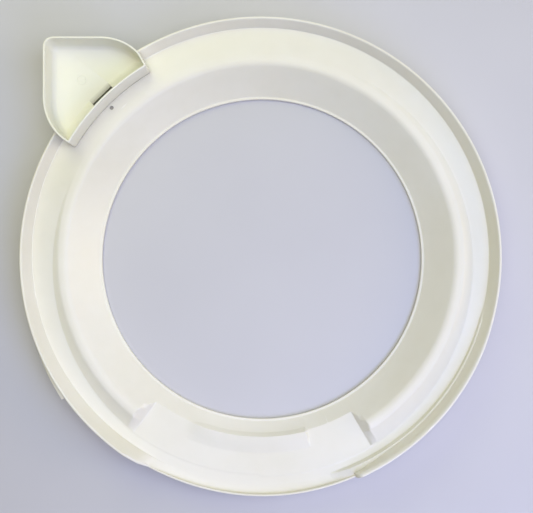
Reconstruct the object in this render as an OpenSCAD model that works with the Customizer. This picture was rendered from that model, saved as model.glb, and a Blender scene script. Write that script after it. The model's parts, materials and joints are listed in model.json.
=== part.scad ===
// Tub cover of a top-loading washing machine: a moulded splash ring with a round
// loading opening, two ramped decks that drain into a fill chute, and a bleach cup.
// The origin is on the ring's axis, in the plane of the opening's lower edge. +Z is up.
// Angles are measured counter-clockwise from +X, seen from above.

/* [Ring] */
// Radius of the outer skirt
outer_r = 285; // [280:1:290]
// Radius of the loading opening at its lower edge
opening_r = 197; // [194:0.5:199]
// Wall thickness of the moulding
wall_t = 2.7; // [2.2:0.1:3.2]
// Height of the top edge of the outer wall
lip_z = 50; // [46:1:56]
// Height of the ridge round the funnel
ridge_z = 37; // [36:0.5:40]
// Height of the deck at the wall, on the level part of the ring
deck_high_z = 34; // [33:0.5:35]
// Height of the deck at the wall, where it reaches the chute
deck_low_z = 25.9; // [25:0.1:27]
// Spacing of the stations along the ring, in degrees
station_step = 3; // [2:0.5:4]

/* [Chute] */
// Angle of the chute's first end face
chute_start = 233.7; // [232:0.1:234]
// Angle of the chute's second end face
chute_end = 300.3; // [299:0.1:301]
// Height of the low lip across the chute
low_lip_z = 34; // [31:0.5:36]
// Height of the dam over the chute's floor
dam_h = 4; // [2:0.5:6]

/* [Bleach cup] */
// Height of the cup's rim
cup_rim_z = 67; // [62:1:72]
// Thickness of the cup's walls
cup_t = 2.4; // [2:0.1:3]
// Distance of the cup's side across +Y from the ring's axis
cup_y = 256.3; // [252:0.1:260]
// Distance of the cup's side across -X from the ring's axis
cup_x = 252.3; // [250:0.1:258]
// Radius of the cup's inner wall
cup_in_r = 258.4; // [257:0.1:260]
// Width of the drain slot
slot_w = 31; // [20:1:34]

/* [Latches] */
// Angle of the first latch
latch_first = 12; // [8:1:16]
// Width of a latch
latch_w = 30; // [24:1:34]
// Radius of a latch's hinge pin
latch_pin_r = 2; // [1.5:0.1:2]
// Running clearance round a hinge pin
pin_gap = 0.05; // [0.03:0.01:0.1]

/* [Gasket] */
// Height of the gasket's cross-section
gasket_h = 7; // [5:0.5:8]
// Width of the gasket's cross-section
gasket_w = 4.6; // [4:0.1:5]

/* [Hidden] */
$fn = 96;
// The wall's inner face leans outward as it rises, by this much a millimetre.
wall_lean = 0.394;
lip_w = 2.7;
lip_round = 1.2;
// The outer wall stands out by this much more from the chute to a quarter turn past it.
flare_out = 1.3;
skirt_in_r = outer_r - 2.6;
skirt_bottom_z = 4;
skirt_top_z = 26.6;
// The moulded shell starts inside the top of the skirt, above its latch windows.
shell_bottom_z = skirt_top_z - 0.4;
shell_out_r = outer_r - 0.2;
shell_in_r = skirt_in_r + 0.2;
ridge_out_r = 243.5;
ridge_in_r = 235.5;
// The funnel begins at this radius, under the ridge, and the deck's step ends at the other.
crease_r = 231.5;
step_r = 246;
opening_lip_w = 6;
opening_lip_h = 5;
// The funnel's upper face leaves the opening's lip here.
funnel_foot_r = opening_r + 3;
funnel_slope = (ridge_z - 1.8 - opening_lip_h) / (crease_r - funnel_foot_r);
// Angles that the chute's end faces slope over, and where the wall's cut begins and ends.
first_face_a = 2.9;
second_face_a = 2.6;
cut_start = 235;
cut_end = 295.3;
cut_round_a = 1.8;
// Angles where the two ramps leave the level deck.
first_ramp_a = 160;
second_ramp_a = 65;
// Where the wall's foot is sunk, the wall is flared, the step in the wall runs, and the dam stands.
sink_a = [240, 294];
flare_a = [250, 346];
ledge_a = [287.5, 348];
ledge_end_a = 303;
dam_a = [246, 285];
// Share of that slope at the ramp's edge, the ridge's outer edge, the crease and the funnel.
face_share = [0.15, 0.8, 0.95, 0.45];
// The chute's floor rises outward by this much a millimetre.
floor_slope = 0.105;
ramp_foot_r = 261;
ramp_foot_z = deck_low_z - 1.4;
floor_in_r = 216;
floor_bend_r = 225;
// Radii on the funnel's face at which its section has corners.
funnel_mid_r = 223;
funnel_low_r = 216;
dam_in_r = 216.9;
dam_drop_r = 212;
low_lip_foot_r = outer_r + flare_out - lip_w - 0.1;
ledge_w = 1.9;
ledge_z = deck_high_z - 0.4;
rib_in_r = 275;
rib_out_r = 277.2;
rib_bottom_z = 9;
gasket_top_z = 18;
cup_az = 135;
cup_half_a = 14.3;
cup_gap = 0.5;
cup_seat_z = deck_high_z - 0.1;
cup_floor_z = cup_seat_z + 0.05;
cup_floor_top = cup_floor_z + cup_t;
slot_az = cup_az - 0.7;
baffle_reach = 17.9;
spout_t = 1.2;
spout_in_x = cup_in_r + 2.6;
spout_out_x = rib_in_r - 0.9;
spout_bottom_z = 20;
latch_count = 8;
pin_r_at = outer_r - 3.5;
pin_z = 21;
barrel_r = 2.8;
window_top_z = pin_z + barrel_r + 0.8;
// Nothing of the ring comes lower than this over a latch's barrel.
barrel_room_z = pin_z + barrel_r + 0.7;
ear_t = 5.6;
window_half = latch_w / 2 + 0.4;

function unit(t) = min(1, max(0, t));
function mix(a, b, t) = a + (b - a) * unit(t);
function within(a, lo, hi) = a > lo && a < hi;

// 0 on the level deck and 1 where a ramp reaches the chute
function ramp(a) =
    on_first_ramp(a) ? unit((a - first_ramp_a) / (chute_start - first_ramp_a))
    : let (turned = a < 270 ? a + 360 : a, top = second_ramp_a + 360)
        unit((top - turned) / (top - chute_end));
function on_first_ramp(a) = a > first_ramp_a && a < 270;
// 1 inside the chute, with end faces that slope over a share of their full angle
function chute(a, share = 1) =
    unit(1 + min((a - chute_start) / (first_face_a * share), (chute_end - a) / (second_face_a * share)));
// 1 where the outer wall is cut down across the chute, with a taper on one side and a round corner
function wall_cut(a) =
    a < 270 ? 0.34 * unit((a - cut_start) / 4) + 0.66 * unit((a - cut_start - 4) / 2.4)
    : 1 - sqrt(1 - unit((cut_end - a) / cut_round_a) ^ 2);
// 1 where the foot of the wall has sunk into the chute's floor
function sink(a) = unit(min((a - sink_a[0]) / 7, (sink_a[1] - a) / 6));
// how far the wall stands out beyond the skirt
function flare(a) = flare_out * unit(min((a - flare_a[0]) / 26, (flare_a[1] - a) / 10));
// 1 along the step in the wall beside the second ramp
function ledge(a) = within(a, ledge_a[0], ledge_a[1]) ? 1 : 0;
// 1 at the chute's end of that step, where it widens and the wall is backed solid
function ledge_end(a) = ledge(a) * unit((ledge_end_a - a) / 8);
// the sector under the cup, where the wall is backed solid
function under_cup(a) = within(a, pad_lo, pad_hi);
// height of the dam, with a soft start and a sharp end
function dam(a) = dam_h * min(unit((a - dam_a[0]) / 5), unit((dam_a[1] - a) / 0.6));

function lip_top(a) = mix(lip_z, low_lip_z, wall_cut(a));
function cone_r(z) = outer_r - lip_w - wall_lean * (lip_z - z);
function floor_z(r) = ramp_foot_z + (r - ramp_foot_r) * floor_slope;
function funnel_z(r) = opening_lip_h + (r - funnel_foot_r) * funnel_slope;
function deck_z(a) = mix(deck_high_z, deck_low_z, ramp(a));
function sunk(r, z, a) = [r, mix(z, floor_z(r), sink(a))];
// how far the ramp's inner edge has moved out from the ridge
function wedge_r(a) = mix(step_r, on_first_ramp(a) ? ramp_foot_r : ramp_foot_r + 2.5, ramp(a));
function wedge_z(a) =
    mix(mix(ridge_z - 0.3, ramp_foot_z, ramp(a)), floor_z(wedge_r(a)), chute(a, face_share[0]));

// the outer wall, from the skirt over the lip and down its inner face to the deck
function wall_face(a) =
    let (
        h = lip_top(a),
        out = outer_r + flare(a),
        w = wall_cut(a),
        z0 = deck_z(a),
        r0 = cone_r(z0),
        top_z = mix(h - 3, h - 1, w),
        top_r = mix(cone_r(h - 3), low_lip_foot_r, w),
        bend_z = ledge(a) > 0 ? ledge_z : z0 + 1.6,
        toe_r = ledge(a) > 0 ? cone_r(ledge_z) - ledge_w : r0 + 0.4,
        toe_z = ledge(a) > 0 ? ledge_z - 0.3 : z0 + 0.4
    )
    [
        [shell_out_r, shell_bottom_z],
        [out - 0.2, h - lip_round],
        [out - lip_w / 3, h - 0.25],
        [out - lip_w * 2 / 3, h],
        [out - lip_w, h - 0.4],
        [top_r, mix(top_z, floor_z(top_r) + 0.6, sink(a))],
        sunk(cone_r(bend_z) + 5 * ledge_end(a), bend_z, a),
        sunk(toe_r, toe_z, a),
        sunk(r0 - 0.8, z0, a)
    ];

// the deck, ridge and funnel, or the floor and dam of the chute
function deck_face(a) =
    let (
        d = dam(a) / dam_h,
        c_edge = chute(a, face_share[0]),
        c_out = chute(a, face_share[1]),
        c_in = chute(a),
        c_crease = chute(a, face_share[2]),
        c_foot = chute(a, face_share[3]),
        rw = wedge_r(a),
        ridge_r = ridge_out_r - 1.2,
        edge_r = mix(funnel_mid_r, mix(floor_in_r, dam_in_r, d), c_foot),
        drop_r = mix(funnel_low_r, mix(floor_in_r - 0.8, dam_drop_r, d), c_edge)
    )
    [
        [rw + 1.5, wedge_z(a) - (rw > ramp_foot_r - 11 ? 0.1 : 0)],
        [rw - 0.5, wedge_z(a) + 0.2],
        [ridge_out_r + 0.8, mix(ridge_z - 0.25, floor_z(ridge_out_r + 0.8), c_out)],
        [ridge_r, mix(ridge_z, floor_z(ridge_r), c_out)],
        [ridge_in_r, mix(ridge_z, floor_z(ridge_in_r), c_in)],
        [
            mix(crease_r, floor_bend_r, c_crease),
            mix(ridge_z - 1.8, floor_z(floor_bend_r) + dam(a) / 2, c_crease)
        ],
        [edge_r, mix(funnel_z(funnel_mid_r), floor_z(edge_r) + dam(a), c_foot)],
        [drop_r, funnel_z(drop_r)],
        [funnel_foot_r - 1.2, opening_lip_h - 1.1]
    ];

// lower face, from the funnel's foot back to the skirt
function lower(a) =
    let (
        c = chute(a),
        t = wall_t,
        zd = mix(deck_z(a), floor_z(cone_r(deck_z(a))), sink(a)),
        bed_z = mix(zd, floor_z(rib_in_r - 8), max(c, ramp(a) > 0.9 ? 1 : 0)) - t - 0.2,
        under_r = mix(218.5, floor_in_r + 0.2, c),
        toe_r = max(rib_out_r + 0.6, cone_r(zd) + 1.6),
        peak_z = mix(lip_top(a) - 7.1, zd - t + 0.3, max(wall_cut(a), ledge_end(a)))
    )
    [
        [funnel_foot_r + 1.3, opening_lip_h - 3.2],
        [under_r, funnel_z(under_r) - 3.6],
        [mix(crease_r + 1.8, floor_bend_r, c), mix(ridge_z - 4.3, floor_z(floor_bend_r) - t, c)],
        [ridge_in_r + 1, mix(ridge_z, floor_z(ridge_in_r + 1), c) - t],
        [ridge_out_r - 1.6, mix(ridge_z, floor_z(ridge_out_r - 1.6), c) - t],
        [wedge_r(a) - 0.4, wedge_z(a) - t],
        [rib_in_r - 8, bed_z],
        [rib_in_r, zd - t - 0.2],
        [rib_in_r, rib_bottom_z],
        [rib_out_r, rib_bottom_z],
        [rib_out_r, zd - t - 0.2],
        [toe_r, max(zd - t, barrel_room_z)],
        [shell_in_r - 0.1, max(under_cup(a) ? zd - t + 1.2 : peak_z, zd - t + 0.3, barrel_room_z)],
        [shell_in_r, shell_bottom_z]
    ];

function section(a) = concat(wall_face(a), deck_face(a), lower(a));

// Stations crowd together where the section changes abruptly.
pad_lo = cup_az - cup_half_a - 1.5;
pad_hi = cup_az + cup_half_a + 1.5;
breaks = [
    second_ramp_a, pad_lo - 0.05, pad_lo + 0.05, pad_hi - 0.05, pad_hi + 0.05, first_ramp_a,
    for (f = [1, face_share[1], face_share[3], face_share[0], 0]) chute_start - first_face_a * f,
    cut_start, cut_start + 4, sink_a[0], cut_start + 6.4, sink_a[0] + 7, flare_a[0], flare_a[0] + 26,
    dam_a[1] - 0.6, dam_a[1], ledge_a[0] - 0.1, ledge_a[0] + 0.1, sink_a[1] - 6,
    for (f = [1, 0.95, 0.8, 0.5, 0]) cut_end - cut_round_a * f,
    for (f = [0, face_share[0], face_share[3], face_share[1], 1]) chute_end + second_face_a * f,
    flare_a[1] - 10, flare_a[1], ledge_a[1] - 0.1, ledge_a[1] + 0.1
];
function near_break(a) = min([for (b = breaks) abs(a - b)]) < 0.8;
function merge(lo, hi, list) = [for (x = list) if (x >= lo && x < hi) x];
regular = [for (a = [0:station_step:360 - station_step]) if (!near_break(a)) a];
stations = [
    for (k = [0:station_step:360 - station_step])
        let (top = k + station_step)
            each sorted(concat(merge(k, top, regular), merge(k, top, breaks)))
];
function sorted(v) =
    len(v) < 2 ? v
    : concat(
        sorted([for (x = v) if (x < v[0]) x]),
        [v[0]],
        sorted([for (x = v) if (x > v[0]) x])
    );

module shell() {
    n = len(stations);
    m = len(section(0));
    pts = [for (a = stations) for (p = section(a)) [p[0] * cos(a), p[0] * sin(a), p[1]]];
    faces = [
        for (i = [0:n - 1])
            for (j = [0:m - 1])
                let (
                    i2 = (i + 1) % n,
                    j2 = (j + 1) % m,
                    p = i * m + j,
                    q = i * m + j2,
                    r = i2 * m + j2,
                    s = i2 * m + j
                )
                each [[p, q, r], [p, r, s]]
    ];
    polyhedron(points = pts, faces = faces, convexity = 12);
}

// a tube between two radii and two heights
module tube(r_in, r_out, z0, z1) {
    rotate_extrude()
        translate([r_in, z0])
            square([r_out - r_in, z1 - z0]);
}

module opening_lip() {
    tube(opening_r, opening_r + opening_lip_w, 0, opening_lip_h);
}

// turns its child so that its +X points outward at an angle of the ring
module at(a) {
    rotate([0, 0, a])
        children();
}

module latch_windows() {
    for (k = [0:latch_count - 1])
        at(latch_first + k * 360 / latch_count)
            translate([outer_r - 8, -window_half, 0])
                cube([12, 2 * window_half, window_top_z]);
}

module latch_ears() {
    for (k = [0:latch_count - 1])
        at(latch_first + k * 360 / latch_count)
            for (s = [-1, 1])
                translate([pin_r_at - 3.4, s * (window_half + ear_t / 2) - ear_t / 2, gasket_top_z + 0.1])
                    cube([5.4, ear_t, 6.9]);
}

module latch_bores() {
    for (k = [0:latch_count - 1])
        at(latch_first + k * 360 / latch_count)
            translate([pin_r_at, window_half + ear_t + 0.5, pin_z])
                rotate([90, 0, 0])
                    cylinder(r = latch_pin_r + pin_gap, h = 2 * (window_half + ear_t + 0.5));
}

// the skirt with its latch windows and hinge ears
module skirt() {
    difference() {
        union() {
            tube(skirt_in_r, outer_r, skirt_bottom_z, skirt_top_z);
            latch_ears();
        }
        latch_windows();
        latch_bores();
    }
}

// short webs from the rib to the skirt, which press on the gasket
module gasket_webs() {
    web_t = 2;
    web_top_z = 25.2;
    for (k = [0:latch_count - 1])
        for (d = [11, 22.5, 34])
            at(latch_first + k * 360 / latch_count + d)
                translate([rib_out_r - 1, -web_t / 2, gasket_top_z + 0.02])
                    cube([skirt_in_r - rib_out_r + 1.8, web_t, web_top_z - gasket_top_z]);
}

// the ramped lug on the outer wall, which grows to its full width and then stops
module turn_stop() {
    rise = 5.2;
    a0 = 197;
    a1 = 215.5;
    steps = 9;
    angles = [for (i = [0:steps]) a0 + (a1 - a0) * i / steps];
    outline = concat(
        [for (a = angles) (outer_r - 1) * [cos(a), sin(a)]],
        [for (i = [steps:-1:0]) (outer_r + 0.3 + rise * i / steps) * [cos(angles[i]), sin(angles[i])]]
    );
    translate([0, 0, 32])
        linear_extrude(height = 12)
            polygon(outline);
}

module cover_ring() {
    hole_w = slot_w + 2 * spout_t + 0.8;
    color([0.93, 0.92, 0.86])
        difference() {
            union() {
                shell();
                skirt();
                opening_lip();
                gasket_webs();
                turn_stop();
            }
            // recess that the bleach cup stands in
            translate([0, 0, cup_seat_z])
                linear_extrude(height = lip_z)
                    offset(delta = cup_gap)
                        cup_outline();
            // hole for the bleach cup's spout
            at(slot_az)
                translate([spout_in_x - 0.4, -hole_w / 2, 25])
                    cube([spout_out_x - spout_in_x + 0.8, hole_w, 15]);
            // round dimple in front of the cup
            at(cup_az - 0.2)
                translate([253.4, 0, ridge_z - 2.4])
                    cylinder(r = 2.4, h = 10);
        }
}

// outline of the cup seen from above: its inner wall, then the bend and corner on each side
module cup_outline() {
    bend_r = 62;
    bend_x = 185;
    corner_r = 11.5;
    wall = [for (i = [-6:6]) let (a = cup_az - cup_half_a * i / 6) cup_in_r * [cos(a), sin(a)]];
    bend = [for (i = [0:6]) let (a = 44 + 46 * i / 6) bend_r * [cos(a), sin(a)]];
    corner = [for (i = [0:6]) let (a = 90 + 15 * i) corner_r * [cos(a), sin(a)]];
    polygon(concat(
        wall,
        [for (p = bend) p + [-bend_x, cup_y - bend_r]],
        [for (p = corner) p + [corner_r - cup_x, cup_y - corner_r]],
        [for (i = [6:-1:0]) [bend_r - cup_x - bend[i][1], bend_x - bend[i][0]]]
    ));
}

module cup_inside() {
    translate([0, 0, cup_floor_top])
        linear_extrude(height = cup_rim_z)
            offset(delta = -cup_t)
                cup_outline();
}

// a closed section of [radius, height] corners, listed counter-clockwise, swept between two angles
module swept(a0, a1, steps, corners) {
    m = len(corners);
    pts = [
        for (i = [0:steps])
            let (a = a0 + (a1 - a0) * i / steps)
                for (c = corners) [c[0] * cos(a), c[0] * sin(a), c[1]]
    ];
    sides = [
        for (i = [0:steps - 1])
            for (j = [0:m - 1])
                let (k = (j + 1) % m)
                    [i * m + j, i * m + k, (i + 1) * m + k, (i + 1) * m + j]
    ];
    first = [for (j = [m - 1:-1:0]) j];
    last = [for (j = [0:m - 1]) steps * m + j];
    polyhedron(points = pts, faces = concat([first], sides, [last]), convexity = 6);
}

// the hollow baffle that curves from the inner wall's rim out to the floor
module cup_baffle() {
    reach = baffle_reach;
    drop = cup_rim_z - 1.2 - cup_floor_top;
    foot_r = cup_in_r + cup_t + reach;
    skin = 1.8;
    low_z = cup_floor_top - 1.1;
    function curve(t, d) = [foot_r - (reach + d) * cos(t), cup_rim_z - 1 - (drop + d) * sin(t)];
    intersection() {
        swept(cup_az - 16, cup_az + 16, 14, concat(
            [[foot_r, low_z]],
            [for (t = [90:-15:0]) curve(t, 0)],
            [[foot_r - reach - skin, cup_rim_z - 1]],
            [for (t = [15:15:60]) curve(t, skin)],
            [[foot_r - 2.6 * skin, low_z]]
        ));
        linear_extrude(height = cup_rim_z)
            offset(delta = -cup_t / 2)
                cup_outline();
    }
}

// the drain hole through floor and spout, with a sump behind it and a window in the baffle over both
module cup_drain() {
    hole_in_x = spout_in_x + spout_t;
    hole_out_x = spout_out_x - spout_t;
    window_x = cup_in_r + baffle_reach + 2.9;
    window_h = 10;
    sump_z = cup_floor_top - 0.9;
    at(slot_az)
        translate([0, slot_w / 2, 0])
            rotate([90, 0, 0])
                linear_extrude(height = slot_w)
                    polygon([
                        [hole_in_x, spout_bottom_z - 1],
                        [hole_out_x, spout_bottom_z - 1],
                        [hole_out_x, sump_z],
                        [window_x, sump_z],
                        [window_x, cup_floor_top + window_h],
                        [hole_in_x, cup_floor_top + window_h]
                    ]);
}

module bleach_cup() {
    spout_h = cup_floor_z + 1 - spout_bottom_z;
    color([0.93, 0.93, 0.85])
        difference() {
            union() {
                difference() {
                    translate([0, 0, cup_floor_z])
                        linear_extrude(height = cup_rim_z - cup_floor_z)
                            cup_outline();
                    cup_inside();
                }
                cup_baffle();
                at(slot_az)
                    translate([spout_in_x, -slot_w / 2 - spout_t, spout_bottom_z])
                        cube([spout_out_x - spout_in_x, slot_w + 2 * spout_t, spout_h]);
            }
            cup_drain();
        }
}

module tub_gasket() {
    mid = (rib_out_r + skirt_in_r) / 2;
    color([0.25, 0.25, 0.27])
        difference() {
            tube(mid - gasket_w / 2, mid + gasket_w / 2, gasket_top_z - gasket_h, gasket_top_z);
            tube(mid - 1, mid + 1, 0, gasket_top_z - gasket_h + 2);
        }
}

module latch(k) {
    color([0.9, 0.9, 0.86])
        at(latch_first + k * 360 / latch_count) {
            translate([pin_r_at, latch_w / 2, pin_z])
                rotate([90, 0, 0])
                    cylinder(r = barrel_r, h = latch_w);
            translate([pin_r_at, window_half + ear_t - 0.4, pin_z])
                rotate([90, 0, 0])
                    cylinder(r = latch_pin_r, h = 2 * (window_half + ear_t - 0.4));
            translate([outer_r - 2.5, -latch_w / 2, 1.5])
                cube([2.4, latch_w, pin_z - 1.5]);
            translate([outer_r - 6.5, -latch_w / 2 + 3, 1.5])
                cube([5, latch_w - 6, 3]);
        }
}

// Node to draw

cover_ring();
bleach_cup();
tub_gasket();
latch(0);  // latch_1
latch(1);  // latch_2
latch(2);  // latch_3
latch(3);  // latch_4
latch(4);  // latch_5
latch(5);  // latch_6
latch(6);  // latch_7
latch(7);  // latch_8
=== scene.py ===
"""Looks of the washing machine tub cover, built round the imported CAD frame.

Sizes are in millimetres and degrees up to the point where a mesh is made; meshes are in metres.
Angles are counter-clockwise from +X, and the fill chute is round 267 degrees.
"""

import json
import math

import bmesh
import bpy
import numpy as np
from mathutils import Matrix, Vector


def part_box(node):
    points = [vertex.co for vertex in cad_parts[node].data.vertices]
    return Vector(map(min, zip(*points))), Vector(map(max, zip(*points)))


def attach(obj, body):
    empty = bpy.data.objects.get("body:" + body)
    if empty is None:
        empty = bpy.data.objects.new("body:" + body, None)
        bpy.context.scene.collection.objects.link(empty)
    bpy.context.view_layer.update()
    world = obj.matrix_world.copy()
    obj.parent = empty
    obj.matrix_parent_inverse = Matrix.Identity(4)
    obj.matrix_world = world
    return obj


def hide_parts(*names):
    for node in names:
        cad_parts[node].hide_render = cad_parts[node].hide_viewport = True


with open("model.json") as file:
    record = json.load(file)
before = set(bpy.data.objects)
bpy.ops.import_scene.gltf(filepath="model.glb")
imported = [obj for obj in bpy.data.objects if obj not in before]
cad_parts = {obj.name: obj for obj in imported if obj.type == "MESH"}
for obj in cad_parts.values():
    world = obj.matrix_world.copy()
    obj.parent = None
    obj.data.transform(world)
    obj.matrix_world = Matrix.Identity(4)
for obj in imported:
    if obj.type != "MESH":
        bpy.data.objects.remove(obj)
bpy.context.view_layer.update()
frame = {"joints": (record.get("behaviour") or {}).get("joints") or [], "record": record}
MM = 0.001

# ---------------------------------------------------------------- sizes that come from the CAD
ring_lo, ring_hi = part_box("cover_ring")
cup_lo, cup_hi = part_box("bleach_cup")
gasket_lo, gasket_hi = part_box("tub_gasket")
LIP_Z = ring_hi.z / MM
OUTER_R = ring_hi.x / MM
CUP_X = -cup_lo.x / MM
CUP_Y = cup_hi.y / MM
CUP_RIM_Z = cup_hi.z / MM
SPOUT_Z = cup_lo.z / MM
GASKET_LOW = gasket_lo.z / MM
GASKET_TOP = gasket_hi.z / MM
OPENING_R = frame["record"]["mounts"][0]["dims"]["r_mm"]
latch_joints = [j for j in frame["joints"] if j["type"] == "hinge"]
PIN_R_AT = math.hypot(*latch_joints[0]["pos_m"][:2]) / MM
PIN_Z = latch_joints[0]["pos_m"][2] / MM
LATCH_AZ = [math.degrees(math.atan2(j["pos_m"][1], j["pos_m"][0])) % 360 for j in latch_joints]

# ---------------------------------------------------------------- the ring's section
WALL_T = 2.7
WALL_LEAN = 0.394
LIP_W = 2.6
LOW_LIP_Z = 34.0
FLARE_OUT = 1.3
LOW_LIP_FOOT_R = OUTER_R + FLARE_OUT - 2.8
SKIRT_IN_R = OUTER_R - 2.6
SKIRT_BOTTOM_Z = 4.0

DECK_HIGH_Z = 34.0
DECK_LOW_Z = 25.9
LEDGE_Z = DECK_HIGH_Z - 0.4
RIDGE_Z = 37.0
RIDGE_OUT_R = 243.5
RIDGE_IN_R = 236.2
CREASE_R = 231.5
CREASE_DROP = 1.8

STEP_R = 246.0
RAMP_FOOT_R = 261.0
RAMP_FOOT_Z = DECK_LOW_Z - 1.4
SECOND_FOOT_OUT = 2.5
FLOOR_SLOPE = 0.105
FLOOR_CREASE_R = 229.0
FLOOR_BEND_R = 225.0
DAM_H = 4.0
DAM_FOOT_R = 212.0

FUNNEL_MID_R = 223.0
FUNNEL_LOW_R = 216.0
FUNNEL_FOOT_R = OPENING_R + 3.0
OPENING_LIP_H = 5.0
OPENING_LIP_W = 6.0
FUNNEL_SLOPE = (RIDGE_Z - CREASE_DROP - OPENING_LIP_H) / (CREASE_R - FUNNEL_FOOT_R)

RIB_IN_R = 275.0
RIB_OUT_R = 277.2
RIB_BOTTOM_Z = 9.0

# ---------------------------------------------------------------- angles round the ring
CHUTE_START, CHUTE_END = 233.7, 300.3
FIRST_FACE_A, SECOND_FACE_A = 2.9, 2.6
# share of the end faces' slope at the ramp's edge, the ridge's outer edge, the crease and the funnel
EDGE_SHARE, RIDGE_SHARE, CREASE_SHARE, FUNNEL_SHARE = 0.15, 0.8, 0.95, 0.45
FIRST_RAMP_A = 160.0
SECOND_RAMP_A = 65.0
CUT_START, CUT_STEP, CUT_END = 235.0, 239.0, 295.3
CUT_STEP_SHARE = 0.34
CUT_ROUND_A = 1.8
SINK_START, SINK_END = 240.0, 294.0
FLARE_START, FLARE_END = 250.0, 346.0
LEDGE_START, LEDGE_WIDE_END, LEDGE_END = 287.5, 303.0, 348.0
DAM_START, DAM_END = 246.0, 285.0

# ---------------------------------------------------------------- latches and their windows
BARREL_R = 2.8
PIN_R = 2.0
LATCH_HALF = 15.0
WINDOW_HALF = 15.4
WINDOW_TOP_Z = PIN_Z + BARREL_R + 0.8
BARREL_ROOM_Z = PIN_Z + BARREL_R + 0.7
EAR_W = 5.6
WEB_STEPS = (11, 22.5, 34)

# ---------------------------------------------------------------- the bleach cup
CUP_AZ = 135.0
CUP_HALF = 14.3
CUP_PAD = CUP_HALF + 1.5
CUP_IN_R = 258.4
CUP_T = 2.4
CUP_FILLET = 6.0
SEAT_Z = DECK_HIGH_Z - 0.1
SEAT_GAP = 0.12
CUP_FLOOR_Z = SEAT_Z + 0.05
CUP_FLOOR_TOP = CUP_FLOOR_Z + CUP_T
SLOT_AZ = CUP_AZ - 0.7
SLOT_HALF = 15.5
SPOUT_T = 1.2
SPOUT_IN = CUP_IN_R + 2.6
SPOUT_OUT = RIB_IN_R - 0.9
SPOUT_GAP = 0.4
SUMP_DEPTH = 1.9
BAFFLE_REACH = 17.9
BAFFLE_FOOT_R = CUP_IN_R + CUP_T + BAFFLE_REACH
BAFFLE_SKIN = 1.8
DIMPLE_AZ = CUP_AZ - 0.2
DIMPLE_R = 253.4


def clamp01(t):
    return min(1.0, max(0.0, t))


def mix(a, b, t):
    return a + (b - a) * t


def ease(t, soft):
    """A straight ramp from 0 to 1 with rounded ends."""
    if t <= -soft:
        return 0.0
    if t >= 1 + soft:
        return 1.0
    if t < soft:
        return (t + soft) ** 2 / (4 * soft)
    if t > 1 - soft:
        return 1 - (1 + soft - t) ** 2 / (4 * soft)
    return t


def on_first_ramp(a):
    return 150 < a < 270


def deck_t(a):
    """0 on the level deck, 1 where a ramp reaches the chute."""
    if on_first_ramp(a):
        return ease((a - FIRST_RAMP_A) / (CHUTE_START - FIRST_RAMP_A), 0.06)
    turns = a + 360 if a < 80 else a
    if turns >= 270:
        return ease((SECOND_RAMP_A + 360 - turns) / (SECOND_RAMP_A + 360 - CHUTE_END), 0.04)
    return 0.0


def chute(a, share=1.0):
    """1 inside the chute, with end faces that slope over a share of their full angle."""
    first = ease((a - CHUTE_START) / (FIRST_FACE_A * share) + 1, 0.03)
    second = ease((CHUTE_END - a) / (SECOND_FACE_A * share) + 1, 0.03)
    return min(first, second)


def wall_cut(a):
    """1 where the outer wall is cut down across the chute: in two slopes on the left, round on the right."""
    if a < 270:
        gentle = ease((a - CUT_START) / (CUT_STEP - CUT_START), 0.1)
        steep = ease((a - CUT_STEP) / 2.4, 0.15)
        return mix(steep, gentle, CUT_STEP_SHARE)
    t = clamp01((CUT_END - a) / CUT_ROUND_A)
    return 1 - math.sqrt(1 - t * t)


def sink(a):
    """1 where the foot of the wall has sunk into the chute's floor."""
    return min(ease((a - SINK_START) / 7.0, 0.3), ease((SINK_END - a) / 6.0, 0.3))


def flare(a):
    """How far the wall stands out beyond the skirt."""
    return FLARE_OUT * min(ease((a - FLARE_START) / 26.0, 0.3), ease((FLARE_END - a) / 10.0, 0.3))


def ledge(a):
    """1 along the step in the wall beside the second ramp."""
    return min(ease((a - LEDGE_START) / 0.6, 0.3), ease((LEDGE_END - a) / 4.0, 0.3))


def ledge_end(a):
    """1 at the chute's end of that step, where it widens."""
    return ledge(a) * ease((LEDGE_WIDE_END - a) / 8.0, 0.3)


def dam(a):
    """Height of the dam over the chute's floor, with a soft start and a sharp end."""
    return DAM_H * min(ease((a - DAM_START) / 5.0, 0.3), ease((DAM_END - a) / 0.6, 0.2))


def foot_z(a):
    """Height of the deck or ramp at the foot of the wall."""
    return mix(DECK_HIGH_Z, DECK_LOW_Z, deck_t(a))


def cone_r(z):
    """Radius of the wall's leaning inner face at a height."""
    return OUTER_R - WALL_T - WALL_LEAN * (LIP_Z - z)


def floor_z(r):
    """Height of the chute's floor, which falls towards the opening."""
    return RAMP_FOOT_Z + (r - RAMP_FOOT_R) * FLOOR_SLOPE


def funnel_z(r):
    return OPENING_LIP_H + (r - FUNNEL_FOOT_R) * FUNNEL_SLOPE


def wedge_r(a):
    """Radius of the ramp's inner edge, which moves out from the ridge as the ramp sinks."""
    return mix(STEP_R, RAMP_FOOT_R if on_first_ramp(a) else RAMP_FOOT_R + SECOND_FOOT_OUT, deck_t(a))


def wedge_z(a):
    """Height of the ramp's inner edge."""
    return mix(mix(RIDGE_Z - 0.3, RAMP_FOOT_Z, deck_t(a)), floor_z(wedge_r(a)), chute(a, EDGE_SHARE))


def skirt_low(a):
    """Lower edge of the skirt, which lifts over the latch windows."""
    for az in LATCH_AZ:
        turn = abs((a - az + 180) % 360 - 180)
        if math.radians(turn) * OUTER_R < WINDOW_HALF:
            return WINDOW_TOP_Z
    return SKIRT_BOTTOM_Z


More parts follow.
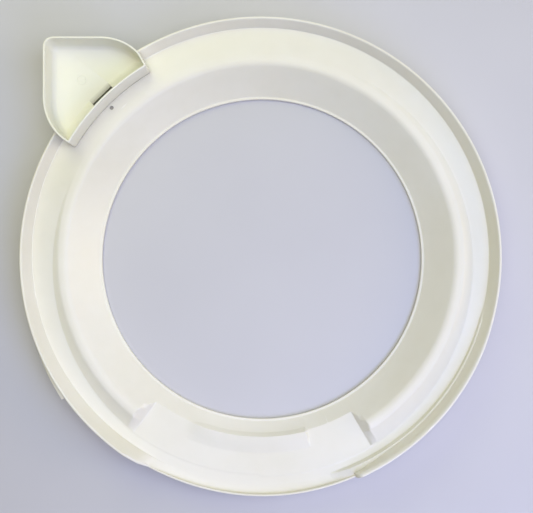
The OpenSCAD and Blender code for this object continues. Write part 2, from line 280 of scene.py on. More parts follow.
def wall_face(a):
    """The outer wall's corners, from the skirt over the lip and down its inner face to the deck."""
    low, sunken, step = wall_cut(a), sink(a), ledge(a)
    top_z = mix(LIP_Z, LOW_LIP_Z, low)
    out_r = OUTER_R + flare(a)
    deck_z = foot_z(a)
    deck_r = cone_r(deck_z)
    face_r = mix(cone_r(top_z - 3.0), LOW_LIP_FOOT_R, low)
    face_z = mix(mix(top_z - 3.0, top_z - 1.0, low), floor_z(face_r) + 0.6, sunken)
    bend_z = mix(deck_z + 1.6, LEDGE_Z, step)
    bend_r = cone_r(bend_z) + 5.0 * ledge_end(a)
    toe_r = mix(deck_r + 0.4, cone_r(LEDGE_Z) - 1.9, step)
    toe_z = mix(deck_z + 0.4, LEDGE_Z - 0.3, step)

    def sunk(r, z, rounding):
        return (r, mix(z, floor_z(r), sunken), rounding)

    return [
        (OUTER_R, skirt_low(a), 0.5),
        (OUTER_R, WINDOW_TOP_Z + 2.0, 0.5),
        (out_r, top_z, 1.2),
        (out_r - LIP_W, top_z, 1.2),
        (face_r, face_z, 0.8),
        sunk(bend_r, bend_z, 0.6),
        sunk(toe_r, toe_z, 0.6),
        sunk(deck_r - 0.8, deck_z, 0.8),
    ]


def deck_face(a):
    """Corners of the deck, ridge and funnel, or of the chute's floor and dam, down to the opening's lip."""
    full, at_edge, at_ridge = chute(a), chute(a, EDGE_SHARE), chute(a, RIDGE_SHARE)
    at_crease, at_funnel = chute(a, CREASE_SHARE), chute(a, FUNNEL_SHARE)
    dammed = dam(a) / DAM_H
    ramp_r, ramp_z = wedge_r(a), wedge_z(a)
    edge_r = mix(FUNNEL_MID_R, mix(FUNNEL_LOW_R, FUNNEL_LOW_R + 0.1, dammed), at_funnel)
    drop_r = mix(FUNNEL_LOW_R, mix(FUNNEL_LOW_R - 0.8, DAM_FOOT_R, dammed), at_edge)
    return [
        (ramp_r + 1.5, ramp_z + 0.02, 1.4),
        (ramp_r - 0.5, ramp_z + 0.15, 0.8),
        (RIDGE_OUT_R, mix(RIDGE_Z, floor_z(RIDGE_OUT_R), at_ridge), mix(2.0, 1.0, at_ridge)),
        (RIDGE_IN_R, mix(RIDGE_Z, floor_z(RIDGE_IN_R), full), mix(3.0, 1.0, full)),
        (
            mix(CREASE_R, FLOOR_CREASE_R, at_crease),
            mix(RIDGE_Z - CREASE_DROP, floor_z(FLOOR_CREASE_R) + dam(a) * 0.35, at_crease),
            mix(3.0, 1.2, at_crease),
        ),
        (edge_r, mix(funnel_z(FUNNEL_MID_R), floor_z(edge_r) + dam(a), at_funnel), mix(2.0, 0.6, at_funnel)),
        (drop_r, funnel_z(drop_r), 0.8),
        (FUNNEL_FOOT_R, OPENING_LIP_H, 1.0),
        (OPENING_R, OPENING_LIP_H - 0.2, 0.9),
        (OPENING_R, 0.0, 0.8),
        (OPENING_R + OPENING_LIP_W, 0.0, 0.8),
    ]


def lower_face(a):
    """Corners of the underside, from the opening's lip back to the skirt."""
    full, low = chute(a), wall_cut(a)
    deck_z = foot_z(a)
    top_z = mix(deck_z, floor_z(cone_r(deck_z)), sink(a))
    under_z = top_z - WALL_T
    funnel_r = mix(218.5, 216.2, full)
    bend_z = mix(RIDGE_Z - 4.3, floor_z(FLOOR_BEND_R) - WALL_T, full)
    peak = max(mix(mix(LIP_Z, LOW_LIP_Z, low) - 7.1, under_z + 0.3, max(low, ledge_end(a))), under_z + 0.3)
    if abs(a - CUP_AZ) < CUP_PAD:
        peak = under_z + 1.2
    peak = max(peak, BARREL_ROOM_Z)
    near_rib_r = RIB_IN_R - 8
    return [
        (OPENING_R + OPENING_LIP_W, 3.9, 0.8),
        (funnel_r, funnel_z(funnel_r) - 3.6, 1.0),
        (mix(233.3, FLOOR_BEND_R, full), bend_z, 1.5),
        (236.5, mix(RIDGE_Z, floor_z(236.5), full) - WALL_T, 1.5),
        (241.9, mix(RIDGE_Z, floor_z(241.9), full) - WALL_T, 1.5),
        (wedge_r(a) - 0.4, wedge_z(a) - WALL_T, 1.0),
        (near_rib_r, mix(top_z, floor_z(near_rib_r), full) - WALL_T - 0.2, 1.0),
        (RIB_IN_R, under_z - 0.2, 0.8),
        (RIB_IN_R, RIB_BOTTOM_Z, 0.6),
        (RIB_OUT_R, RIB_BOTTOM_Z, 0.6),
        (RIB_OUT_R, under_z - 0.2, 0.4),
        (max(RIB_OUT_R + 0.6, cone_r(top_z) + 1.6), max(under_z, BARREL_ROOM_Z), 0.2),
        (SKIRT_IN_R - 0.1, peak, 0.2),
        (SKIRT_IN_R, min(skirt_low(a), peak - 0.3), 0.3),
    ]


def section(a):
    """The ring's closed section at angle a, as corners of (radius, height, rounding)."""
    return wall_face(a) + deck_face(a) + lower_face(a)


def rounded(corners, steps=3):
    """The closed section with each corner turned into an arc of steps + 1 points."""
    points = np.array([corner[:2] for corner in corners])
    n = len(points)
    out = []
    for i, corner in enumerate(corners):
        here = points[i]
        back, ahead = points[i - 1] - here, points[(i + 1) % n] - here
        back_len, ahead_len = np.linalg.norm(back), np.linalg.norm(ahead)
        if back_len < 1e-6 or ahead_len < 1e-6:
            out += [here] * (steps + 1)
            continue
        length = min(corner[2], 0.45 * back_len, 0.45 * ahead_len)
        start, end = here + back / back_len * length, here + ahead / ahead_len * length
        for k in range(steps + 1):
            s = k / steps
            out.append((1 - s) ** 2 * start + 2 * s * (1 - s) * here + s * s * end)
    return np.array(out)


def stations():
    """Angles of the loft, closer together where the section changes fast."""
    marks = set(np.round(np.arange(0, 360, 0.75), 3))

    def clear(lo, hi):
        for a in [m for m in marks if lo <= m <= hi]:
            marks.discard(a)

    def fine(lo, hi, step):
        clear(lo, hi)
        marks.update(np.round(np.arange(lo, hi + step / 2, step), 3))

    fine(230.4, 234.0, 0.15)
    fine(234.4, 247.4, 0.4)
    fine(284.0, 285.4, 0.08)
    fine(287.2, 292.7, 0.3)
    fine(292.8, 295.5, 0.08)
    fine(300.0, 303.3, 0.15)
    window_a = math.degrees(WINDOW_HALF / OUTER_R)
    jumps = [CUP_AZ - CUP_PAD, CUP_AZ + CUP_PAD]
    for az in LATCH_AZ:
        jumps += [az - window_a, az + window_a]
    for jump in jumps:
        clear(jump - 0.3, jump + 0.3)
        marks.update([round((jump - 0.02) % 360, 4), round((jump + 0.02) % 360, 4)])
    return sorted(marks)


# ---------------------------------------------------------------- mesh helpers
def link_mesh(name, mesh):
    obj = bpy.data.objects.new(name, mesh)
    bpy.context.scene.collection.objects.link(obj)
    return obj


def smooth(obj, angle):
    """Smooth shading with creases where faces meet at more than the angle."""
    obj.data.polygons.foreach_set("use_smooth", [True] * len(obj.data.polygons))
    obj.data.set_sharp_from_angle(angle=math.radians(angle))
    obj.data.update()


def skin(name, rings, closed=False):
    """A solid through rings of points in metres: joined last to first if closed, else with end caps."""
    n, m = len(rings), len(rings[0])
    faces = []
    for i in range(n if closed else n - 1):
        k = (i + 1) % n
        for j in range(m):
            q = (j + 1) % m
            faces.append((i * m + j, i * m + q, k * m + q, k * m + j))
    if not closed:
        faces += [tuple(range(m)), tuple(range((n - 1) * m, n * m))]
    mesh = bpy.data.meshes.new(name)
    mesh.from_pydata([tuple(p) for ring in rings for p in ring], [], faces)
    mesh.validate()
    bm = bmesh.new()
    bm.from_mesh(mesh)
    bmesh.ops.remove_doubles(bm, verts=bm.verts, dist=1e-7)
    bmesh.ops.recalc_face_normals(bm, faces=bm.faces)
    bm.to_mesh(mesh)
    bm.free()
    return link_mesh(name, mesh)


def revolved(corners, a):
    """Points of (radius, height) at angle a, in metres."""
    t = math.radians(a)
    return [(r * math.cos(t) * MM, r * math.sin(t) * MM, z * MM) for r, z in corners]


def level(loop, z):
    """An outline at a height, in metres."""
    return [(x * MM, y * MM, z * MM) for x, y in loop]


def turned(points, turn):
    """Points turned about the ring's axis, in metres."""
    mat = Matrix.Rotation(math.radians(turn), 4, "Z")
    return [mat @ (Vector(p) * MM) for p in points]


def block(bm, lo, hi, turn):
    """A box between two corners, turned about the ring's axis."""
    mat = Matrix.Rotation(math.radians(turn), 4, "Z")
    mid = (Vector(lo) + Vector(hi)) / 2 * MM
    size = (Vector(hi) - Vector(lo)) * MM
    for v in bmesh.ops.create_cube(bm, size=1.0)["verts"]:
        v.co = mat @ (v.co * size + mid)


def round_bar(bm, radius, length, centre, turn):
    """A round bar along the tangent, centred on a point given as (radius, height)."""
    mat = Matrix.Rotation(math.radians(turn), 4, "Z")
    lie = Matrix.Rotation(math.radians(90), 4, "X")
    made = bmesh.ops.create_cone(
        bm, cap_ends=True, segments=48, radius1=radius * MM, radius2=radius * MM, depth=length * MM
    )
    for v in made["verts"]:
        v.co = mat @ (lie @ v.co + Vector((centre[0] * MM, 0, centre[1] * MM)))


def from_bmesh(name, bm):
    """An object of the bmesh with its faces turned outward."""
    bm.normal_update()
    bmesh.ops.recalc_face_normals(bm, faces=bm.faces)
    if bm.calc_volume(signed=True) < 0:
        bmesh.ops.reverse_faces(bm, faces=bm.faces)
    mesh = bpy.data.meshes.new(name)
    bm.to_mesh(mesh)
    bm.free()
    return link_mesh(name, mesh)


def apply_modifiers(obj):
    bpy.context.view_layer.update()
    deps = bpy.context.evaluated_depsgraph_get()
    mesh = bpy.data.meshes.new_from_object(obj.evaluated_get(deps))
    obj.modifiers.clear()
    obj.data = mesh


def bevel(obj, width, angle=35.0):
    """Round the edges that are sharper than the angle."""
    mod = obj.modifiers.new("edges", "BEVEL")
    mod.width = width * MM
    mod.segments = 2
    mod.limit_method = "ANGLE"
    mod.angle_limit = math.radians(angle)
    apply_modifiers(obj)


def cut(obj, cutter, operation="DIFFERENCE"):
    mod = obj.modifiers.new("cut", "BOOLEAN")
    mod.operation = operation
    mod.solver = "EXACT"
    mod.object = cutter
    apply_modifiers(obj)
    bpy.data.objects.remove(cutter)


# ---------------------------------------------------------------- the cover ring
def build_ring():
    ring = skin("tub_cover_ring", [revolved(rounded(section(a)), a) for a in stations()], closed=True)
    seat = inset(cup_outline(), -SEAT_GAP)
    cut(ring, skin("cutter", [level(seat, z) for z in (SEAT_Z, LIP_Z + 10)]))

    bm = bmesh.new()
    hole_half = SLOT_HALF + SPOUT_T + SPOUT_GAP
    block(bm, (SPOUT_IN - SPOUT_GAP, -hole_half, 20.0), (SPOUT_OUT + SPOUT_GAP, hole_half, 36.0), SLOT_AZ)
    dimple = bmesh.ops.create_cone(
        bm, cap_ends=True, segments=48, radius1=2.3 * MM, radius2=2.7 * MM, depth=6 * MM
    )
    for v in dimple["verts"]:
        v.co += Vector(revolved([(DIMPLE_R, RIDGE_Z + 0.5)], DIMPLE_AZ)[0])
    cut(ring, from_bmesh("cutter", bm))
    smooth(ring, 34)
    return ring


def build_ring_details():
    """Hinge ears and the webs that press on the gasket."""
    bm = bmesh.new()
    for az in LATCH_AZ:
        for side in (-1, 1):
            near, far = sorted((side * WINDOW_HALF, side * (WINDOW_HALF + EAR_W)))
            ear_lo = (PIN_R_AT - 3.4, near, GASKET_TOP + 0.1)
            block(bm, ear_lo, (PIN_R_AT + 2.0, far, GASKET_TOP + 7.0), az)
        for step in WEB_STEPS:
            web_lo = (RIB_OUT_R - 1, -1, GASKET_TOP + 0.02)
            block(bm, web_lo, (SKIRT_IN_R + 0.8, 1, 25.2), az + step)
    obj = from_bmesh("ring_ears_and_webs", bm)
    bevel(obj, 0.4)
    smooth(obj, 40)
    return obj


def build_lug():
    """The ramped lug on the outer wall, which grows to its full width and then stops."""
    start, span, rise, low, high = 197.0, 18.5, 5.2, 32.0, 44.0
    base = OUTER_R - 1.2
    steps = 60
    rings = []
    for i in range(steps + 1):
        out = OUTER_R + 0.15 + rise * i / steps
        corners = [(base, low, 0.3), (base, high, 0.3), (out, high, 0.9), (out, low, 0.9)]
        rings.append(revolved(rounded(corners), start + span * i / steps))
    obj = skin("wall_lug", rings)
    bevel(obj, 0.4, 60)
    smooth(obj, 40)
    return obj


# ---------------------------------------------------------------- the bleach cup
def cup_outline():
    """The cup's outer outline, evenly stepped, counter-clockwise seen from above."""
    bend_r, bend_x, corner_r = 62.0, 185.0, 11.5

    def arc(radius, first, last, centre, n=40):
        angles = np.radians(np.linspace(first, last, n))
        return [(centre[0] + radius * math.cos(t), centre[1] + radius * math.sin(t)) for t in angles]

    bend = arc(bend_r, 44, 90, (0, 0))
    loop = arc(CUP_IN_R, CUP_AZ + CUP_HALF, CUP_AZ - CUP_HALF, (0, 0), 80)
    loop += [(x - bend_x, y + CUP_Y - bend_r) for x, y in bend]
    loop += arc(corner_r, 90, 180, (corner_r - CUP_X, CUP_Y - corner_r))
    loop += [(bend_r - CUP_X - y, bend_x - x) for x, y in reversed(bend)]
    closed = np.array(loop + loop[:1])
    run = np.concatenate([[0], np.cumsum(np.linalg.norm(np.diff(closed, axis=0), axis=1))])
    even = np.linspace(0, run[-1], 420, endpoint=False)
    out = np.c_[np.interp(even, run, closed[:, 0]), np.interp(even, run, closed[:, 1])]
    # soften the two sharp inner corners
    for _ in range(6):
        out = 0.25 * np.roll(out, 1, 0) + 0.5 * out + 0.25 * np.roll(out, -1, 0)
    return out


def inset(loop, d):
    """The loop moved inwards by d along its normals, without the folds that this makes at tight corners."""
    ahead = np.roll(loop, -1, 0) - np.roll(loop, 1, 0)
    ahead /= np.linalg.norm(ahead, axis=1)[:, None]
    normal = np.c_[-ahead[:, 1], ahead[:, 0]]
    area = np.sum(loop[:, 0] * np.roll(loop[:, 1], -1) - np.roll(loop[:, 0], -1) * loop[:, 1])
    moved = loop + normal * d * (1 if area > 0 else -1)
    side = np.roll(loop, -1, 0) - loop
    to = moved[:, None, :] - loop[None, :, :]
    t = np.clip((to * side).sum(2) / (side * side).sum(1), 0, 1)
    distance = np.linalg.norm(to - t[..., None] * side, axis=2).min(1)
    folded = distance < 0.985 * abs(d)
    if not folded.any() or folded.all():
        return moved
    n = len(loop)
    start = int(np.argmin(folded))
    k = 0
    while k < n:
        if not folded[(start + k) % n]:
            k += 1
            continue
        run = 0
        while folded[(start + k + run) % n]:
            run += 1
        meet = (moved[(start + k - 1) % n] + moved[(start + k + run) % n]) / 2
        for q in range(-1, run + 1):
            moved[(start + k + q) % n] = meet
        k += run + 1
    return moved


def build_cup():
    """The cup's shell: its outline from the underside up to the rim and down the inside to the floor."""
    loop = cup_outline()
    rim = CUP_RIM_Z
    levels = [
        (9.0, CUP_FLOOR_Z),
        (3.0, CUP_FLOOR_Z),
        (1.1, CUP_FLOOR_Z + 0.25),
        (0.3, CUP_FLOOR_Z + 1.0),
        (0.0, CUP_FLOOR_Z + 2.4),
        (0.0, rim - 8.0),
        (0.0, rim - 1.0),
        (0.25, rim - 0.35),
        (0.8, rim),
        (CUP_T - 0.8, rim),
        (CUP_T - 0.25, rim - 0.35),
        (CUP_T, rim - 1.0),
        (CUP_T + 0.3, rim - 10.0),
    ]
    for k in range(7):
        t = math.radians(90 * k / 6)
        inward = CUP_T + 0.5 + CUP_FILLET * (1 - math.cos(t))
        levels.append((inward, CUP_FLOOR_TOP + CUP_FILLET * (1 - math.sin(t))))
    cup = skin("bleach_cup_shell", [level(inset(loop, d) if d else loop, z) for d, z in levels])

    drain_in, drain_out = SPOUT_IN + SPOUT_T, SPOUT_OUT - SPOUT_T
    bm = bmesh.new()
    drain_lo = (drain_in, -SLOT_HALF, SPOUT_Z - 2)
    block(bm, drain_lo, (drain_out, SLOT_HALF, CUP_FLOOR_TOP + 8), SLOT_AZ)
    cut(cup, from_bmesh("cutter", bm))
    sump = [
        (drain_in, CUP_FLOOR_TOP - SUMP_DEPTH),
        (drain_out + 0.1, CUP_FLOOR_TOP - SUMP_DEPTH),
        (BAFFLE_FOOT_R, CUP_FLOOR_TOP + 0.05),
        (BAFFLE_FOOT_R, CUP_FLOOR_TOP + 9),
        (drain_in, CUP_FLOOR_TOP + 9),
    ]
    ends = [turned([(r, y, z) for r, z in sump], SLOT_AZ) for y in (-SLOT_HALF, SLOT_HALF)]
    cut(cup, skin("cutter", ends))
    smooth(cup, 34)
    return cup


def build_baffle():
    """The hollow baffle that curves from the inner wall's rim to the floor, with a window over the drain."""
    top = CUP_RIM_Z - 1.0
    drop = top - CUP_FLOOR_TOP
    base_z = CUP_FLOOR_TOP - 0.5
    half_a, steps = 16.0, 120

    def curve(t, d):
        t = math.radians(t)
        return BAFFLE_FOOT_R - (BAFFLE_REACH + d) * math.cos(t), top - (drop + d) * math.sin(t)

    profile = [(BAFFLE_FOOT_R + 0.6, base_z)]
    profile += [curve(t, 0.0) for t in range(90, -1, -5)]
    profile += [(BAFFLE_FOOT_R - BAFFLE_REACH - BAFFLE_SKIN, top)]
    profile += [curve(t, BAFFLE_SKIN) for t in range(10, 70, 5)]
    profile += [(BAFFLE_FOOT_R - 3.0 * BAFFLE_SKIN, base_z)]
    angles = [CUP_AZ + mix(-half_a, half_a, i / steps) for i in range(steps + 1)]
    baffle = skin("cup_baffle", [revolved(profile, a) for a in angles])
    bound = inset(cup_outline(), CUP_T / 2)
    cut(baffle, skin("cutter", [level(bound, z) for z in (CUP_FLOOR_TOP - 2, CUP_RIM_Z + 2)]), "INTERSECT")
    bm = bmesh.new()
    window_lo = (SPOUT_IN, -SLOT_HALF, CUP_FLOOR_TOP - 3)
    block(bm, window_lo, (BAFFLE_FOOT_R + 2, SLOT_HALF, CUP_FLOOR_TOP + 10), SLOT_AZ)
    cut(baffle, from_bmesh("cutter", bm))
    smooth(baffle, 34)
    return baffle


def build_spout():
    """The short rectangular drain spout under the cup."""
    half = SLOT_HALF + SPOUT_T
    bm = bmesh.new()
    block(bm, (SPOUT_IN, -half, SPOUT_Z), (SPOUT_OUT, half, CUP_FLOOR_Z + 0.6), SLOT_AZ)
    obj = from_bmesh("cup_drain_spout", bm)
    bm = bmesh.new()
    bore_lo = (SPOUT_IN + SPOUT_T, -SLOT_HALF, SPOUT_Z - 4)
    block(bm, bore_lo, (SPOUT_OUT - SPOUT_T, SLOT_HALF, CUP_FLOOR_Z + 6), SLOT_AZ)
    cut(obj, from_bmesh("cutter", bm))
    bevel(obj, 0.3)
    smooth(obj, 40)
    return obj


def build_mould_mark():
    """A faint raised circle on the cup's floor, left by the mould's pin."""
    bpy.ops.mesh.primitive_torus_add(
        major_radius=5.2 * MM,
        minor_radius=0.5 * MM,
        major_segments=72,
        minor_segments=10,
        location=(-214.5 * MM, 213.3 * MM, (CUP_FLOOR_TOP - 0.1) * MM),
    )
    obj = bpy.context.object
    obj.name = "cup_mould_mark"
    obj.data.transform(obj.matrix_world)
    obj.matrix_world = Matrix.Identity(4)
    smooth(obj, 60)
    return obj


# ---------------------------------------------------------------- gasket and latches
def build_gasket():
    """The rubber ring between the rib and the skirt, with a groove in its lower face."""
    mid = (RIB_OUT_R + SKIRT_IN_R) / 2
    half, groove_half, groove_top = 2.3, 1.0, GASKET_LOW + 2.2
    corners = [
        (mid - half, GASKET_LOW, 0.5),
        (mid - groove_half, GASKET_LOW, 0.5),
        (mid - groove_half + 0.1, groove_top, 0.8),
        (mid + groove_half - 0.1, groove_top, 0.8),
        (mid + groove_half, GASKET_LOW, 0.5),
        (mid + half, GASKET_LOW, 0.5),
        (mid + half, GASKET_TOP, 0.8),
        (mid - half, GASKET_TOP, 0.8),
    ]
    obj = skin("rubber_gasket", [revolved(rounded(corners), a) for a in range(360)], closed=True)
    smooth(obj, 40)
    return obj


def build_latch(index, az):
    """A latch's section swept along the tangent, with its hinge pins."""
    out, low = OUTER_R - 0.1, 1.5
    corners = []
    for k in range(17):
        t = math.radians(-15 + 210 * k / 16)
        corners.append((PIN_R_AT + BARREL_R * math.cos(t), PIN_Z + BARREL_R * math.sin(t)))
    corners += [
        (PIN_R_AT - 0.6, PIN_Z - BARREL_R + 0.1),
        (out - 2.4, PIN_Z - 4.2),
        (out - 2.4, 5.4),
        (out - 3.2, 4.5),
        (out - 6.3, 4.5),
        (out - 6.4, 3.6),
        (out - 4.4, low + 0.2),
        (out - 0.8, low),
        (out, low + 0.9),
        (out, 7.0),
        (out, PIN_Z - 2.0),
    ]
    ends = [turned([(r, y, z) for r, z in corners], az) for y in (-LATCH_HALF, LATCH_HALF)]
    body = skin(f"latch_{index}_lever", ends)
    bevel(body, 0.45, 30)
    bm = bmesh.new()
    bm.from_mesh(body.data)
    round_bar(bm, PIN_R, 2 * (WINDOW_HALF + 5.2), (PIN_R_AT, PIN_Z), az)
    bm.to_mesh(body.data)
    bm.free()
    smooth(body, 35)
    return body


# ---------------------------------------------------------------- materials
def shader(name):
    mat = bpy.data.materials.new(name)
    mat.use_nodes = True
    nodes, links = mat.node_tree.nodes, mat.node_tree.links
    nodes.clear()
    out = nodes.new("ShaderNodeOutputMaterial")
    bsdf = nodes.new("ShaderNodeBsdfPrincipled")
    links.new(bsdf.outputs[0], out.inputs[0])
    return mat, nodes, links, bsdf


def noise(nodes, links, coords, scale, detail):
    node = nodes.new("ShaderNodeTexNoise")
    node.inputs["Scale"].default_value = scale
    node.inputs["Detail"].default_value = detail
    node.inputs["Roughness"].default_value = 0.55
    links.new(coords, node.inputs["Vector"])
    return node.outputs["Fac"]


def ramp(nodes, links, fac, first, last):
    """A colour ramp between two stops of (position, colour)."""
    node = nodes.new("ShaderNodeValToRGB")
    for element, stop in zip(node.color_ramp.elements, (first, last)):
        element.position, element.color = stop
    links.new(fac, node.inputs["Fac"])
    return node.outputs["Color"]


def blend_colour(nodes, links, fac, a, b, mode="MIX"):
    """Two colours blended; the factor and the colours are values or outputs of nodes."""
    node = nodes.new("ShaderNodeMix")
    node.data_type = "RGBA"
    node.blend_type = mode
    for slot, value in ((0, fac), (6, a), (7, b)):
        if isinstance(value, (float, tuple)):
            node.inputs[slot].default_value = value
        else:
            links.new(value, node.inputs[slot])
    return node.outputs[2]


def scaled(nodes, links, fac, lo, hi, from_lo=0.0, from_hi=1.0):
    node = nodes.new("ShaderNodeMapRange")
    node.inputs["From Min"].default_value = from_lo
    node.inputs["From Max"].default_value = from_hi
    node.inputs["To Min"].default_value = lo
    node.inputs["To Max"].default_value = hi
    links.new(fac, node.inputs["Value"])
    return node.outputs["Result"]


def add_bump(nodes, links, bsdf, height, strength):
    node = nodes.new("ShaderNodeBump")
    node.inputs["Strength"].default_value = strength
    node.inputs["Distance"].default_value = 0.0003
    links.new(height, node.inputs["Height"])
    links.new(node.outputs["Normal"], bsdf.inputs["Normal"])


def dimple_shade_mask(nodes, links, coords):
    """A soft-edged round mask over the dimple, where its hole gets painted shade."""
    radius = 2.6 * MM
    far = nodes.new("ShaderNodeVectorMath")
    far.operation = "DISTANCE"
    links.new(coords, far.inputs[0])
    far.inputs[1].default_value = revolved([(DIMPLE_R, RIDGE_Z - 2.4)], DIMPLE_AZ)[0]
    return scaled(nodes, links, far.outputs["Value"], 0.6, 0.0, radius, radius * 1.15)


def drain_shade_mask(nodes, links, coords):
    """A mask for painted shade over the sump and the walls of the drain, which fades outward along the sump.
    """
    turn = nodes.new("ShaderNodeMapping")
    turn.inputs["Rotation"].default_value = (0, 0, math.radians(-SLOT_AZ))
    links.new(coords, turn.inputs["Vector"])
    axes = nodes.new("ShaderNodeSeparateXYZ")
    links.new(turn.outputs["Vector"], axes.inputs[0])
    out, along, up = axes.outputs
    aside = nodes.new("ShaderNodeMath")
    aside.operation = "ABSOLUTE"
    links.new(along, aside.inputs[0])

    def band(value, inside, outside, first, last):
        return scaled(nodes, links, value, inside, outside, first * MM, last * MM)

    mask = band(out, 0.72, 0.0, SPOUT_OUT - 4.0, BAFFLE_FOOT_R + 0.6)
    below = band(up, 1.0, 0.0, CUP_FLOOR_TOP - 0.06, CUP_FLOOR_TOP - 0.02)
    within = band(aside.outputs[0], 1.0, 0.0, SLOT_HALF + 0.1, SLOT_HALF + 0.2)
    beyond_wall = band(out, 0.0, 1.0, CUP_IN_R + 0.4, CUP_IN_R + 0.8)
    for part in (below, within, beyond_wall):
        both = nodes.new("ShaderNodeMath")
        both.operation = "MULTIPLY"
        links.new(mask, both.inputs[0])
        links.new(part, both.inputs[1])
        mask = both.outputs[0]
    return mask


def moulded_plastic(name, base, aged, rough=(0.30, 0.42), bump=0.05, painted_recess_shade=None, painted_corner_shade=0.35):
    """Off-white moulded plastic: slow colour drift, fine texture, painted shade in corners, paler edges as a
    painted highlight.
    """
    mat, nodes, links, bsdf = shader(name)
    coords = nodes.new("ShaderNodeTexCoord").outputs["Object"]
    drift = noise(nodes, links, coords, 7.0, 3.0)
    colour = blend_colour(nodes, links, scaled(nodes, links, drift, 0.0, 1.0, 0.35, 0.65), base, aged)
    cloud = noise(nodes, links, coords, 60.0, 5.0)
    tone = ramp(nodes, links, cloud, (0.3, (0.98, 0.98, 0.975, 1)), (0.7, (1.0, 1.0, 1.0, 1)))
    colour = blend_colour(nodes, links, 1.0, colour, tone, "MULTIPLY")
    # Painted shade: where ambient occlusion finds corners and creases, the colour is darkened towards a dark
    # olive grey.
    hollow = nodes.new("ShaderNodeAmbientOcclusion")
    hollow.inputs["Distance"].default_value = 0.006
    hollow.samples = 6
    corners = scaled(nodes, links, hollow.outputs["AO"], painted_corner_shade, 0.0, 0.35, 0.8)
    colour = blend_colour(nodes, links, corners, colour, (0.42, 0.40, 0.33, 1))
    # Painted highlight: sharp convex edges are made paler.
    geometry = nodes.new("ShaderNodeNewGeometry")
    edge = scaled(nodes, links, geometry.outputs["Pointiness"], 0.0, 0.35, 0.53, 0.6)
    colour = blend_colour(nodes, links, edge, colour, (0.97, 0.965, 0.93, 1))
    # Painted shade: a near-black colour is laid over the mask, in recesses such as the dimple's hole and the
    # drain.
    if painted_recess_shade:
        colour = blend_colour(nodes, links, painted_recess_shade(nodes, links, coords), colour, (0.10, 0.095, 0.075, 1))
    links.new(colour, bsdf.inputs["Base Color"])
    links.new(scaled(nodes, links, cloud, *rough, 0.3, 0.7), bsdf.inputs["Roughness"])
    bsdf.inputs["Subsurface Weight"].default_value = 0.06
    bsdf.inputs["Subsurface Radius"].default_value = (0.004, 0.003, 0.002)
    bsdf.inputs["Specular IOR Level"].default_value = 0.45
    fine = noise(nodes, links, coords, 900.0, 2.0)
    wave = noise(nodes, links, coords, 22.0, 2.0)
    height = nodes.new("ShaderNodeMath")
    height.operation = "MULTIPLY_ADD"
    links.new(wave, height.inputs[0])
    height.inputs[1].default_value = 6.0
    links.new(fine, height.inputs[2])
    add_bump(nodes, links, bsdf, height.outputs[0], bump)
    return mat


def rubber(name):
    """Black rubber with a speckled, slightly rough face."""
    mat, nodes, links, bsdf = shader(name)
    coords = nodes.new("ShaderNodeTexCoord").outputs["Object"]
    spots = noise(nodes, links, coords, 240.0, 5.0)
    colour = ramp(nodes, links, spots, (0.3, (0.02, 0.02, 0.022, 1)), (0.75, (0.075, 0.073, 0.07, 1)))
    links.new(colour, bsdf.inputs["Base Color"])
    links.new(scaled(nodes, links, spots, 0.6, 0.85), bsdf.inputs["Roughness"])
    add_bump(nodes, links, bsdf, spots, 0.3)
    return mat


def paint(obj, mat):
    obj.data.materials.clear()
    obj.data.materials.append(mat)


def dress(obj, mat, body, node=None):
    """Give a piece its material and body, and hide the CAD node that it stands for, if any."""
    paint(obj, mat)
    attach(obj, body)
    if node:
        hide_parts(node)


# ---------------------------------------------------------------- floor, light and camera
def build_floor():
    bpy.ops.mesh.primitive_plane_add(size=12, location=(0, 0, -0.0006))
    floor = bpy.context.object
    floor.name = "floor"
    mat, nodes, links, bsdf = shader("pale_floor")
    coords = nodes.new("ShaderNodeTexCoord").outputs["Object"]
    cloud = noise(nodes, links, coords, 3.0, 3.0)
    tone = ramp(nodes, links, cloud, (0.3, (0.55, 0.55, 0.56, 1)), (0.7, (0.58, 0.58, 0.585, 1)))
    links.new(tone, bsdf.inputs["Base Color"])
    bsdf.inputs["Roughness"].default_value = 0.75
    paint(floor, mat)


def soft_light(name, size, power, colour, place):
    """A round area light in metres that faces the middle of the ring."""
    data = bpy.data.lights.new(name, "AREA")
    data.shape = "DISK"
    data.size = size
    data.energy = power
    data.color = colour
    obj = bpy.data.objects.new(name, data)
    bpy.context.scene.collection.objects.link(obj)
    obj.location = place
    obj.rotation_euler = (Vector((0, 0, 0.03)) - Vector(place)).to_track_quat("-Z", "Y").to_euler()


def build_world():
    """Faint warm light from all round; the camera itself sees a plain pale backdrop."""
    world = bpy.data.worlds.new("studio")
    bpy.context.scene.world = world
    world.use_nodes = True
    nodes, links = world.node_tree.nodes, world.node_tree.links
    warm = nodes["Background"]
    warm.inputs["Color"].default_value = (1.0, 0.9, 0.4, 1)
    warm.inputs["Strength"].default_value = 0.12
    backdrop = nodes.new("ShaderNodeBackground")
    backdrop.inputs["Color"].default_value = (0.60, 0.60, 0.61, 1)
    backdrop.inputs["Strength"].default_value = 0.9
    path = nodes.new("ShaderNodeLightPath")
    choose = nodes.new("ShaderNodeMixShader")
    links.new(path.outputs["Is Camera Ray"], choose.inputs[0])
    links.new(warm.outputs[0], choose.inputs[1])
    links.new(backdrop.outputs[0], choose.inputs[2])
    links.new(choose.outputs[0], nodes["World Output"].inputs["Surface"])


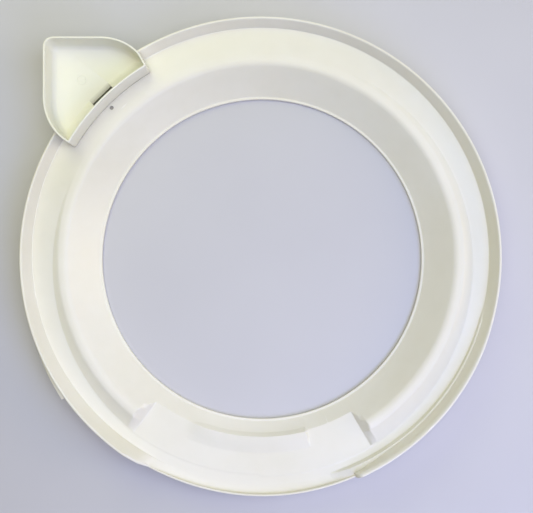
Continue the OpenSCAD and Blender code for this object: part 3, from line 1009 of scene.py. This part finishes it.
def build_camera():
    """A camera that looks straight down, from a little to one side of the ring's axis."""
    eye = Vector((0.0377, -0.0377, 1.05))
    radius_share = 0.4531  # the ring's outer radius, as a share of the picture's width
    data = bpy.data.cameras.new("camera")
    data.sensor_width = 36.0
    data.lens = data.sensor_width * radius_share * (eye.z - LIP_Z * MM) / (OUTER_R * MM)
    data.shift_x = -0.0486
    data.shift_y = 0.0621
    camera = bpy.data.objects.new("camera", data)
    camera.location = eye
    bpy.context.scene.collection.objects.link(camera)
    bpy.context.scene.camera = camera
    bpy.context.scene.view_settings.view_transform = "Standard"


ring_mat = moulded_plastic(
    "ring_polypropylene", (0.80, 0.785, 0.672, 1), (0.77, 0.75, 0.62, 1), painted_recess_shade=dimple_shade_mask
)
# The cup's plastic is a slightly lighter, greener copy of the ring's: painted light for the deep cup, with
# the greenish tint of its shade painted in, and less painted shade in its corners.
cup_mat = moulded_plastic(
    "cup_polypropylene", (0.82, 0.82, 0.695, 1), (0.80, 0.79, 0.655, 1), painted_recess_shade=drain_shade_mask, painted_corner_shade=0.12
)
latch_mat = moulded_plastic(
    "latch_acetal", (0.74, 0.72, 0.66, 1), (0.70, 0.68, 0.60, 1), rough=(0.36, 0.5), bump=0.08
)

dress(build_ring(), ring_mat, "ring", "cover_ring")
dress(build_ring_details(), ring_mat, "ring")
dress(build_lug(), ring_mat, "ring")
dress(build_cup(), cup_mat, "cup", "bleach_cup")
for piece in (build_baffle(), build_spout(), build_mould_mark()):
    dress(piece, cup_mat, "cup")
dress(build_gasket(), rubber("gasket_rubber"), "ring", "tub_gasket")
for number, az in enumerate(LATCH_AZ, 1):
    latch = f"latch_{number}"
    dress(build_latch(number, az), latch_mat, latch, latch)

build_floor()
soft_light("overhead", 2.4, 33, (0.96, 0.94, 1.0), (0.0, 0.0, 2.6))
soft_light("low_side", 1.3, 15.5, (1.0, 0.84, 0.55), (2.04, 0.0, 0.82))
soft_light("high_side", 1.3, 12.5, (0.42, 0.58, 1.0), (1.26, 0.0, 1.8))
soft_light("low_back", 1.3, 9, (0.66, 0.66, 1.0), (0.0, 2.04, 0.82))
soft_light("near_front", 0.7, 4.4, (0.5, 0.54, 1.0), (0.375, -0.65, 0.85))
soft_light("near_side", 0.6, 0.9, (0.14, 0.17, 1.0), (0.62, -0.42, 0.85))
soft_light("near_cup", 0.7, 2.7, (0.95, 1.0, 0.54), (-0.375, 0.65, 0.85))
build_world()
build_camera()
